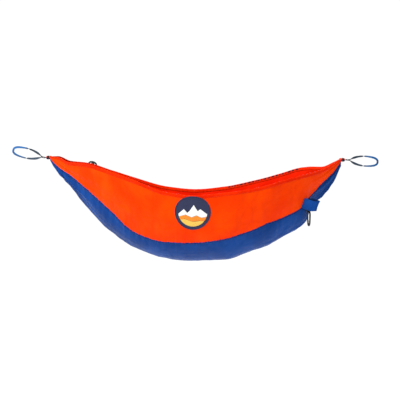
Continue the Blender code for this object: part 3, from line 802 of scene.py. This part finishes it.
def make_seam(name, side):
    """The lapped seam, on both faces of the cloth, with two rows of stitches on each."""
    made = []
    for face, sign, finish, sewn_with in (
        ("outer", 1.0, "blue_lap", "blue_thread"),
        ("inner", -1.0, "orange_hem_painted_shade", "orange_thread"),
    ):
        ring = [(d, sign * h) for d, h in LAP_PROFILE]
        made.append(strip(f"{name}_seam_{face}_lap", side, seam_w, ring, lap_scale, finish))
        for row, distance in (("high", 0.0016), ("low", LAP_WIDTH - 0.0018)):
            sewn, lift = f"{name}_seam_{face}_{row}_stitches", sign * 0.0012
            made.append(stitches(sewn, side, seam_w, distance, lift, lap_scale, sewn_with))
    return made


def make_trough():
    # The inner faces get darker finishes: painted shade inside the trough.
    orange, blue = ("orange", "orange_inside_painted_shade"), ("blue", "blue_inside_painted_shade")
    front_rim, back_rim = (rim_w, -1.0), (rim_w, 1.0)
    front_seam, back_seam = (seam_w, -1.0), (seam_w, 1.0)
    sheets = {
        "front": panel("front_cloth", front_rim, front_seam, SIDE_ROWS, orange, "front_panel"),
        "back": panel("back_cloth", back_seam, back_rim, SIDE_ROWS, orange, "back_panel"),
        "bottom": panel("bottom_cloth", front_seam, back_seam, BOTTOM_ROWS, blue, *BOTTOM_NODES),
    }
    sewn_on = {"bottom": []}
    for name, side in (("front", -1.0), ("back", 1.0)):
        sewn_on[name] = make_hem(name, side)
        sewn_on["bottom"] += make_seam(name, side)


# ---------- trim and badge


def bar_stitch(x_from, x_to):
    """One padded block of thread."""
    x = np.linspace(x_from, x_to, 7)
    dome = np.sqrt(np.clip(1 - np.linspace(-1, 1, 7) ** 4, 0, 1))
    lines, uvs = [], []
    for share in np.linspace(0, 1, 5):
        distance = BAR_LOW + (BAR_HIGH - BAR_LOW) * share
        w = 1.0 - distance / speed(x, 1.0)
        crown = math.sqrt(max(0.0, 1 - (2 * share - 1) ** 4))
        lift = -0.0013 - 0.0010 * crown * dome
        lines.append(cloth(x, w) + smooth_normal(x, w) * lift[:, None])
        uvs.append(paired(x, distance))
    return grid_parts(lines, uvs)


def make_trim():
    """A row of bar stitches on the inner face of the back hem."""
    parts = []
    x = TRIM_FROM
    while x + max(BAR_LENGTHS) < TRIM_TO:
        length = BAR_LENGTHS[len(parts) % len(BAR_LENGTHS)]
        parts.append(bar_stitch(x, x + length))
        x += length + BAR_GAP
    mesh_object("rim_bar_stitches", join_parts(parts), "black_thread", "back_rim_trim")


def badge_point(a, b, lift):
    """A point of the badge: a along X and b up the cloth from its centre."""
    x = BADGE_X + a
    down = BADGE_DROP - b
    w = below_rim(x, -1.0, down)
    over_hem = 0.0014 * np.clip((HEM_WIDTH + 0.003 - down) / 0.003, 0, 1)
    return cloth(x, w) + smooth_normal(x, w) * (lift + over_hem)[..., None]


def badge_disc(name, radius, lift, finish, *nodes):
    share = np.linspace(0, 1, 26)[:, None]
    r = radius * share**0.8
    turn = np.linspace(0, 2 * math.pi, 120, endpoint=False)
    a, b = r * np.cos(turn), r * np.sin(turn)
    height = np.where(np.broadcast_to(share > 0.985, a.shape), lift * 0.2, lift)
    parts = grid_parts(badge_point(a, b, height), paired(a, b), wrap_columns=True)
    mesh_object(name, parts, finish, *nodes)


def badge_band(name, inner, outer, lift, finish):
    """A raised ring of stitching."""
    turn = np.linspace(0, 2 * math.pi, 150, endpoint=False)
    middle, half = (inner + outer) / 2, (outer - inner) / 2
    lines, uvs = [], []
    for share in np.linspace(-1, 1, 9):
        r = middle + half * share
        height = lift * (0.35 + 0.65 * math.sqrt(max(0.0, 1 - share**2)))
        lines.append(badge_point(r * np.cos(turn), r * np.sin(turn), height))
        uvs.append(paired(r * turn, r))
    mesh_object(name, grid_parts(lines, uvs, wrap_columns=True), finish)


def badge_area(name, floor, ceiling, lift, finish):
    """An inlay between two of the lines below, inside the badge's border."""
    reach = BADGE_RADIUS * BADGE_INNER
    a = np.linspace(-reach, reach, 130) * 0.9995
    limit = np.sqrt(np.maximum(reach**2 - a**2, 0))
    low, high = (
        np.clip(np.interp(a, *(np.array(line).T * reach)), -limit, limit) for line in (floor, ceiling)
    )
    high = np.maximum(high, low)
    v = np.linspace(0, 1, 16)[:, None]
    b = low * (1 - v) + high * v
    height = lift * (0.45 + 0.55 * np.clip(np.minimum(v, 1 - v) * (high - low) / 0.0012, 0, 1))
    spread = np.broadcast_to(a, b.shape)
    mesh_object(name, grid_parts(badge_point(spread, b, height), paired(spread, b)), finish)


def make_badge():
    """A round sewn badge: snowy hills over two bands of ground, under a dark sky."""
    badge_disc("badge_ground", BADGE_RADIUS, 0.0009, "badge_navy", "badge_patch")
    badge_band("badge_border", BADGE_RADIUS * 0.945, BADGE_RADIUS, 0.0021, "badge_edge")
    badge_area("badge_hills", SNOW_FOOT, RIDGE, 0.0016, "badge_white")
    badge_area("badge_amber_ground", FIELD_EDGE, SNOW_FOOT, 0.0015, "badge_amber")
    badge_area("badge_yellow_ground", BADGE_BOTTOM, FIELD_EDGE, 0.0014, "badge_yellow")


# ---------- gathered ends and loops


def make_bunch(side, out, start):
    """The bunched cloth, from inside the panels to its flared tip."""
    spokes = 132
    angles = round_steps(spokes)
    rings, uvs = [], []
    for along, radius, depth in smooth_line(BUNCH_SECTIONS, 4):
        wave = np.sin(11 * angles + 30 * along) + 0.4 * np.sin(17 * angles + 2.0)
        r = radius * (1 + depth * (wave - 0.6))
        ring = (np.full(spokes, out * along), r * np.cos(angles), r * np.sin(angles))
        rings.append(start + np.stack(ring, axis=-1))
        uvs.append(paired(along, angles * radius))
    points, faces, uvs = grid_parts(rings, uvs, wrap_columns=True)
    faces.append([len(points) - spokes + k for k in range(spokes)])
    parts = (points, faces, uvs)
    bunch = mesh_object(f"{side}_bunched_cloth", parts, "blue", f"{side}_gathered_end")
    bunch.data.materials.append(FINISHES["orange"][1])
    for face in bunch.data.polygons:
        if face.center.z > start[2] - 0.001:
            face.material_index = 1


def make_whipping(side, out, start):
    """The cord wound round the bunched cloth, and a small knot on its front."""
    steps = 28
    turn = np.arange(WHIP_TURNS * steps + 1) / steps
    along = 0.0035 + turn * (2 * WHIP_RADIUS + 0.0001)
    radius = END_RADIUS + (END_TIP_RADIUS - END_RADIUS) * along / END_LENGTH + WHIP_RADIUS * 0.9
    angle = 2 * math.pi * turn
    spiral = np.stack((out * along, radius * np.cos(angle), radius * np.sin(angle)), axis=-1)
    thickness = WHIP_RADIUS * 1.03
    from_ends = 0.1 - np.abs(np.linspace(-0.1, 0.1, len(spiral)))
    wraps = tube_parts(start + spiral, thickness * dome(from_ends / thickness, 0.02), 12)
    phase = np.linspace(0, 2 * math.pi, 90, endpoint=False)
    reach = (2 + np.cos(3 * phase)) * KNOT_RADIUS / 2.4
    loop = (reach * np.cos(2 * phase), np.sin(3 * phase) * KNOT_RADIUS * 0.55, reach * np.sin(2 * phase))
    place = start + np.array((out * 0.0085, -END_RADIUS - 0.0022, -0.0020))
    knot = tube_parts(np.stack(loop, axis=-1) + place, WHIP_RADIUS * 0.72, 10, closed=True)
    cord = join_parts((wraps, knot))
    mesh_object(f"{side}_whipping_cord", cord, "black_cord", f"{side}_whipping")


def make_eye(side, out, start):
    """The cord eye that the end loop turns on."""
    bar_x = JOINTS[f"{side}_loop_swing"]["pos_m"][0]
    face_x = start[0] + out * (END_LENGTH - 0.001)
    half = [
        (face_x, -0.0035, start[2]),
        (face_x + out * 0.0025, -0.0037, start[2]),
        (bar_x - out * 0.0030, -EYE_HALF_WIDTH, start[2]),
        (bar_x - out * 0.0009, -EYE_HALF_WIDTH + 0.0007, start[2]),
        (bar_x, -EYE_HALF_WIDTH + 0.0026, start[2]),
    ]
    line = half + [(x, -y, z) for x, y, z in reversed(half)]
    parts = tube_parts(smooth_line(line, 6), CORD_RADIUS, 14)
    mesh_object(f"{side}_eye_cord", parts, "black_cord", f"{side}_cord_eye")


def make_end(side, out):
    low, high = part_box(f"{side}_gathered_end")
    start = (np.array(low) + np.array(high)) / 2 - np.array((out * END_LENGTH / 2, 0, 0))
    make_bunch(side, out, start)
    make_whipping(side, out, start)
    make_eye(side, out, start)


def make_loop(side):
    mount = MOUNTS[f"{side}_loop_bight"]
    bight = np.array(mount["pos_m"]) - np.array(mount["axis"]) * WEBBING_THICKNESS / 2
    bar = np.array(JOINTS[f"{side}_loop_swing"]["pos_m"])
    length = float(np.linalg.norm(bight - bar))
    along = unit(bight - bar)
    across = np.array((-along[2], 0, along[0]))

    # The closed line of the webbing, as (along, across, twist).
    stretch = length / LOOP_HALF[-1][0]
    stretched = [(u * stretch if u > 0.02 else u, v, math.radians(b)) for u, v, b in LOOP_HALF]
    half = smooth_line(stretched, 8)
    line = np.vstack((half, half[::-1][:-1] * np.array((1, -1, 1))))
    centre = bar + line[:, :1] * along + line[:, 1:2] * across
    tangent = tangents(line[:, :2], closed=True)
    inward = tangent[:, 1:] * along - tangent[:, :1] * across
    twist = line[:, 2:]
    widths = inward * np.cos(twist) + Y_AXIS * np.sin(twist)
    parts = ribbon_parts(centre, widths, WEBBING_WIDTH, WEBBING_THICKNESS, closed=True)
    body = f"{side}_loop"
    names = (f"{side}_loop_webbing", parts, "loop_webbing", f"{side}_end_loop")
    loop = mesh_object(*names, body=body)
    share = loop.data.attributes.new("share", "FLOAT", "POINT")
    shares = np.repeat(line[:, 0] / length, len(parts[0]) // len(line))
    share.data.foreach_set("value", shares.astype(np.float32))

    # The thread that closes the loop, wound round both of its legs.
    turns, steps = 20, 24
    s = np.linspace(0, turns, turns * steps + 1)
    angle = 2 * math.pi * s
    square = paired(np.cos(angle), np.sin(angle))
    square = np.sign(square) * np.abs(square) ** 0.35
    u = BAND_FROM + (BAND_TO - BAND_FROM) * s / turns
    half_height = 0.0010 + np.interp(u, half[:, 0], np.abs(half[:, 1])) + WEBBING_THICKNESS / 2
    wound = bar + u[:, None] * along + square[:, 1:] * half_height[:, None] * across
    wound = wound + square[:, :1] * (WEBBING_WIDTH / 2 + 0.0006) * Y_AXIS
    parts = tube_parts(wound, BINDING_THREAD, 8)
    mesh_object(f"{side}_loop_binding", parts, "black_cord", f"{side}_loop_bartack", body=body)


# ---------- carabiners, keepers and tab


def carabiner_frame(side):
    """(middle of the bar, along the bar, the ring's own normal, up)."""
    swing, gate = JOINTS[f"{side}_carabiner_swing"], JOINTS[f"{side}_gate_hinge"]
    along, normal = unit(np.array(swing["axis"])), unit(np.array(gate["axis"]))
    return np.array(swing["pos_m"]), along, normal, np.cross(along, normal)


def make_ring(side):
    bar, along, normal, up = carabiner_frame(side)
    line = smooth_line(RING_LINE, 8)
    ring_line = bar + line[:, :1] * along - line[:, 1:] * up
    length = arc_lengths(ring_line)
    left = length[-1] - length
    radii = RING_ROD * dome(length / 0.0016, 0.05) * dome(left / 0.003, 0.08)
    sides = 24
    points, faces, uvs = tube_parts(ring_line, radii, sides)
    # The last stretch is pinched to a flat tongue for the gate's fork.
    thin = np.repeat(np.interp(left, (0.0070, 0.0082), (0.36, 1.0)), sides)
    aside = (points - np.repeat(ring_line, sides, axis=0)) @ normal
    points = points - (aside * (1 - thin))[:, None] * normal
    ring = (f"{side}_carabiner_body", (points, faces, uvs), "black_plastic")
    mesh_object(*ring, f"{side}_carabiner_frame", body=f"{side}_carabiner")


def make_gate(side):
    """The grooved gate, with a fork over the ring's tongue, and its rivet."""
    bar, along, normal, up = carabiner_frame(side)
    hinge = np.array(JOINTS[f"{side}_gate_hinge"]["pos_m"])
    nose = bar + GATE_NOSE[0] * along - GATE_NOSE[1] * up
    gate_axis, reach = unit(nose - hinge), float(np.linalg.norm(nose - hinge)) + GATE_LAP
    r = GATE_ROD
    profile = [(0.0060, r * 0.55), (0.0062, r * 0.85), (0.0068, r)]
    for groove in np.arange(0.0110, 0.0180, 0.0016):
        for past, share in ((0, 1.0), (0.0003, 0.88), (0.0009, 0.88), (0.0012, 1.0)):
            profile.append((groove + past, r * share))
    profile += [(reach - 0.0016, r), (reach - 0.0005, r * 0.86), (reach, r * 0.60)]
    parts = [lathe_parts(profile, hinge, gate_axis, 32)]
    sideways = np.cross(normal, gate_axis)
    turn = np.linspace(math.pi, 2 * math.pi, 15)
    corners = ((PRONG_RADIUS, PRONG_LENGTH), (-PRONG_RADIUS, PRONG_LENGTH))
    outline = np.vstack((paired(np.cos(turn), np.sin(turn)) * PRONG_RADIUS, corners))
    flat = hinge + outline[:, :1] * sideways + outline[:, 1:] * gate_axis
    for sign in (-1.0, 1.0):
        faces = [flat + normal * (sign * 0.00275 + half) for half in (-0.00080, 0.00080)]
        parts.append(grid_parts(faces, (outline, outline), wrap_columns=True, capped=True))
    body = f"{side}_gate"
    gate = (f"{side}_gate_bar", join_parts(parts), "black_plastic", f"{side}_carabiner_gate")
    gate = mesh_object(*gate, body=body)
    gate.data.set_sharp_from_angle(angle=math.radians(35))

    half = GATE_ROD + 0.0004
    profile = [(0, 0.0006), (0.0002, 0.0014), (0.0006, 0.0017), (0.00065, 0.0010)]
    profile += [(2 * half - a, b) for a, b in reversed(profile)]
    rivet = lathe_parts(profile, hinge - normal * half, normal, 24)
    mesh_object(f"{side}_gate_rivet", rivet, "pin_steel", f"{side}_carabiner_pin", body=body)


def make_keeper(side, root, twist):
    """A short strap from its sewn root, round the ring's bar and back."""
    bar, along_bar, _, _ = carabiner_frame(side)
    to_root = root - bar
    height = float(np.linalg.norm(to_root))
    up = unit(to_root - along_bar * np.dot(to_root, along_bar))
    front = np.cross(along_bar, up)
    radius = RING_ROD + KEEPER_CLEARANCE + KEEPER_THICKNESS / 2
    legs = KEEPER_THICKNESS / 2 + 0.0003
    diagonal = math.sin(math.radians(45))
    half = (
        (0.0, -radius),
        (radius * diagonal, -radius * diagonal),
        (radius, 0.0),
        (radius * 0.93, radius * 0.5),
        (legs + (radius - legs) * 0.4, radius + (height - radius) * 0.35),
        (legs, radius + (height - radius) * 0.7),
        (legs, height),
    )
    right = smooth_line(half, 8)
    profile = np.vstack((right[::-1] * np.array((-1, 1)), right[1:]))
    line, widths = [], []
    for a, b in profile:
        rise = max(b - radius, 0.0) / (height - radius)
        turn = np.array(Matrix.Rotation(twist * rise, 3, Vector(up)))
        axis = bar + (to_root * b / height if b > 0 else up * b)
        line.append(axis + turn @ (front * a))
        widths.append(turn @ along_bar)
    strap = ribbon_parts(line, widths, KEEPER_WIDTH, KEEPER_THICKNESS)
    mesh_object(f"{side}_keeper_webbing", strap, "black_webbing", f"{side}_keeper")

    # A bar tack through both legs.
    turn = np.array(Matrix.Rotation(twist * TACK_RISE, 3, Vector(up)))
    width_axis, face_axis = turn @ along_bar, turn @ front
    s = np.linspace(0, 1, 67)
    zigzag = np.abs((s * 16) % 2 - 1) * 2 - 1
    tack = bar + to_root * TACK_RISE + width_axis * ((s - 0.5) * (KEEPER_WIDTH - 0.002))[:, None]
    tack = tack + up * (zigzag * 0.0014)[:, None]
    off = face_axis * (legs + KEEPER_THICKNESS / 2 + 0.0002)
    tacks = join_parts([tube_parts(tack + off * sign, TACK_THREAD, 6) for sign in (-1.0, 1.0)])
    mesh_object(f"{side}_keeper_bartack", tacks, "grey_thread")


def make_tab():
    """The folded tab: a soft band of blue nylon with hemmed edges."""
    along = np.array((math.cos(TAB_TILT), 0, math.sin(TAB_TILT)))
    across = np.array((-along[2], 0, along[0]))
    line = smooth_line(TAB_LINE, 8)
    rows = np.linspace(-0.5, 0.5, 33)
    spine = np.array(TAB_ROOT) + line[:, :1] * along - line[:, 1:] * Y_AXIS
    normal = unit(np.cross(unit(np.gradient(spine, axis=0)), across))
    distance = arc_lengths(spine)
    share = distance / distance[-1]
    edge = np.clip((0.5 - np.abs(rows)) * TAB_WIDTH / 0.007, 0, 1)
    wrinkle = [
        [noise.noise((d * 70, r * 3.2, 4.0)) + 0.5 * noise.noise((d * 20, r * 9, 9.0)) for r in rows]
        for d in distance
    ]
    lift = np.array(wrinkle) * 0.0011 * (0.4 + 0.6 * edge)
    sag = 0.0016 * np.cos(math.pi * rows) * np.sin(math.pi * share)[:, None]
    rising, settling = np.clip((share - 0.30) / 0.25, 0, 1), np.clip((share - 0.70) / 0.30, 0, 1)
    raised = TAB_RAISE * np.sin(math.pi / 2 * rising) ** 2 * np.cos(math.pi / 2 * settling) ** 2
    points = spine[:, None] + across * (rows * TAB_WIDTH + raised[:, None])[..., None]
    points = points + normal[:, None] * (lift - sag)[..., None]
    parts = grid_parts(points, paired(distance[:, None], rows * TAB_WIDTH))
    tab = mesh_object("gear_tab_cloth", parts, "blue", "right_gear_tab")
    # Its inner face is painted near-black blue: painted shade inside the fold.
    thicken(tab, TAB_CLOTH, "tab_inside_painted_shade")

    # Hem stitches along both edges, on both faces.
    parts = []
    marks = np.arange(0.004, distance[-1] - 0.006, 0.0040)
    for offset in (-0.41, 0.41):
        row = int(round((offset + 0.5) * (len(rows) - 1)))
        for sign in (-1.0, 1.0):
            path = points[:, row] + normal * 0.0008 * sign
            for mark in marks:
                places = (mark, mark + 0.0014, mark + 0.0028)
                ends = np.stack([np.interp(places, distance, path[:, i]) for i in range(3)], axis=-1)
                parts.append(tube_parts(ends, THREAD, 5))
    mesh_object("gear_tab_stitches", join_parts(parts), "blue_thread")


def sewn_at(x, w, lift):
    return smooth_hull(x, w) + smooth_normal(x, w) * lift


def hang_carabiners():
    for side in ("left", "right"):
        make_ring(side)
        make_gate(side)
    along = JOINTS["right_carabiner_swing"]["axis"]
    root = sewn_at(RIGHT_ROOT_X, RIGHT_ROOT_W, RIGHT_ROOT_LIFT)
    make_keeper("right", root, math.atan2(-along[1], along[0]))
    x = LEFT_BAR[0]
    root = sewn_at(x, 1.0 - LEFT_ROOT_DROP / speed(x, 1.0), LEFT_ROOT_LIFT)
    make_keeper("left", root, 0.0)


# ---------- the scene

make_studio()
ORANGE, DEEP_ORANGE = (0.60, 0.036, 0.0005), (0.54, 0.022, 0.0004)
# The inside colours are darker and redder than the outer ones: painted shade of the trough's inner
# faces.
SHADED_INSIDE_ORANGE, SHADED_INSIDE_DEEP = (0.54, 0.010, 0.0004), (0.47, 0.006, 0.0003)
# The hem colours are darker and redder than the cloth: painted shade along the doubled hem and the inner
# seam lap.
SHADED_HEM_ORANGE, SHADED_HEM_DEEP = (0.54, 0.016, 0.0004), (0.48, 0.009, 0.0004)
BLUE, DEEP_BLUE = (0.005, 0.036, 0.165), (0.004, 0.025, 0.120)
# The tab's inner face is painted near black: painted shade inside its fold.
TAB_SHADED_BLUE, TAB_SHADED_DEEP = (0.003, 0.012, 0.050), (0.002, 0.007, 0.030)
LOOP_BLUE, LOOP_DEEP, LOOP_ROOT = (0.008, 0.100, 0.270), (0.004, 0.055, 0.165), (0.016, 0.024, 0.032)
FINISHES = {  # (the record's material slot, the material)
    "orange": ("orange_nylon", nylon("orange_nylon_cloth", ORANGE, DEEP_ORANGE)),
    "orange_inside_painted_shade": ("orange_nylon", nylon("orange_nylon_inside_painted_shade", SHADED_INSIDE_ORANGE, SHADED_INSIDE_DEEP)),
    "orange_hem_painted_shade": ("orange_nylon", nylon("orange_nylon_hem_painted_shade", SHADED_HEM_ORANGE, SHADED_HEM_DEEP, 0.5)),
    "blue": ("blue_nylon", nylon("blue_nylon_cloth", BLUE, DEEP_BLUE)),
    # The inner face of the blue cloth is painted a darker blue: painted shade.
    "blue_inside_painted_shade": ("blue_nylon", nylon("blue_nylon_inside_painted_shade", DEEP_BLUE, (0.003, 0.020, 0.110))),
    "tab_inside_painted_shade": ("blue_nylon", nylon("tab_inside_painted_shade", TAB_SHADED_BLUE, TAB_SHADED_DEEP, 0.5)),
    "blue_lap": ("blue_nylon", nylon("blue_nylon_lap", DEEP_BLUE, (0.003, 0.019, 0.100), 0.5)),
    "loop_webbing": ("loop_webbing", webbing("end_loop_webbing", LOOP_BLUE, LOOP_DEEP, LOOP_ROOT)),
    "black_webbing": (
        "black_webbing",
        webbing("keeper_webbing", (0.020, 0.020, 0.022), (0.008, 0.008, 0.009)),
    ),
    "black_cord": ("black_cord", thread("whipping_cord", (0.012, 0.0115, 0.0115), 0.0022)),
    "black_thread": ("black_webbing", thread("black_stitching", (0.014, 0.012, 0.014))),
    "grey_thread": ("black_webbing", thread("grey_stitching", (0.06, 0.06, 0.065))),
    "orange_thread": ("orange_nylon", thread("orange_stitching", (0.60, 0.045, 0.003))),
    "blue_thread": ("blue_nylon", thread("blue_stitching", (0.006, 0.045, 0.19))),
    "badge_navy": ("badge_navy", embroidery("badge_navy_thread", (0.018, 0.022, 0.056), 28)),
    "badge_edge": ("badge_navy", embroidery("badge_edge_thread", (0.015, 0.018, 0.046), 90)),
    "badge_white": ("badge_navy", embroidery("badge_white_thread", (0.62, 0.62, 0.61), 60)),
    "badge_amber": ("badge_navy", embroidery("badge_amber_thread", (0.62, 0.19, 0.016), 12)),
    "badge_yellow": ("badge_navy", embroidery("badge_yellow_thread", (0.62, 0.39, 0.068), -18)),
    "black_plastic": ("black_plastic", moulded("black_moulded_plastic", (0.006, 0.006, 0.0065))),
    "pin_steel": ("pin_steel", brushed("rivet_steel", (0.62, 0.62, 0.63))),
}

make_trough()
make_trim()
make_badge()
for end_name, outwards in (("left", -1.0), ("right", 1.0)):
    make_end(end_name, outwards)
    make_loop(end_name)
hang_carabiners()
make_tab()
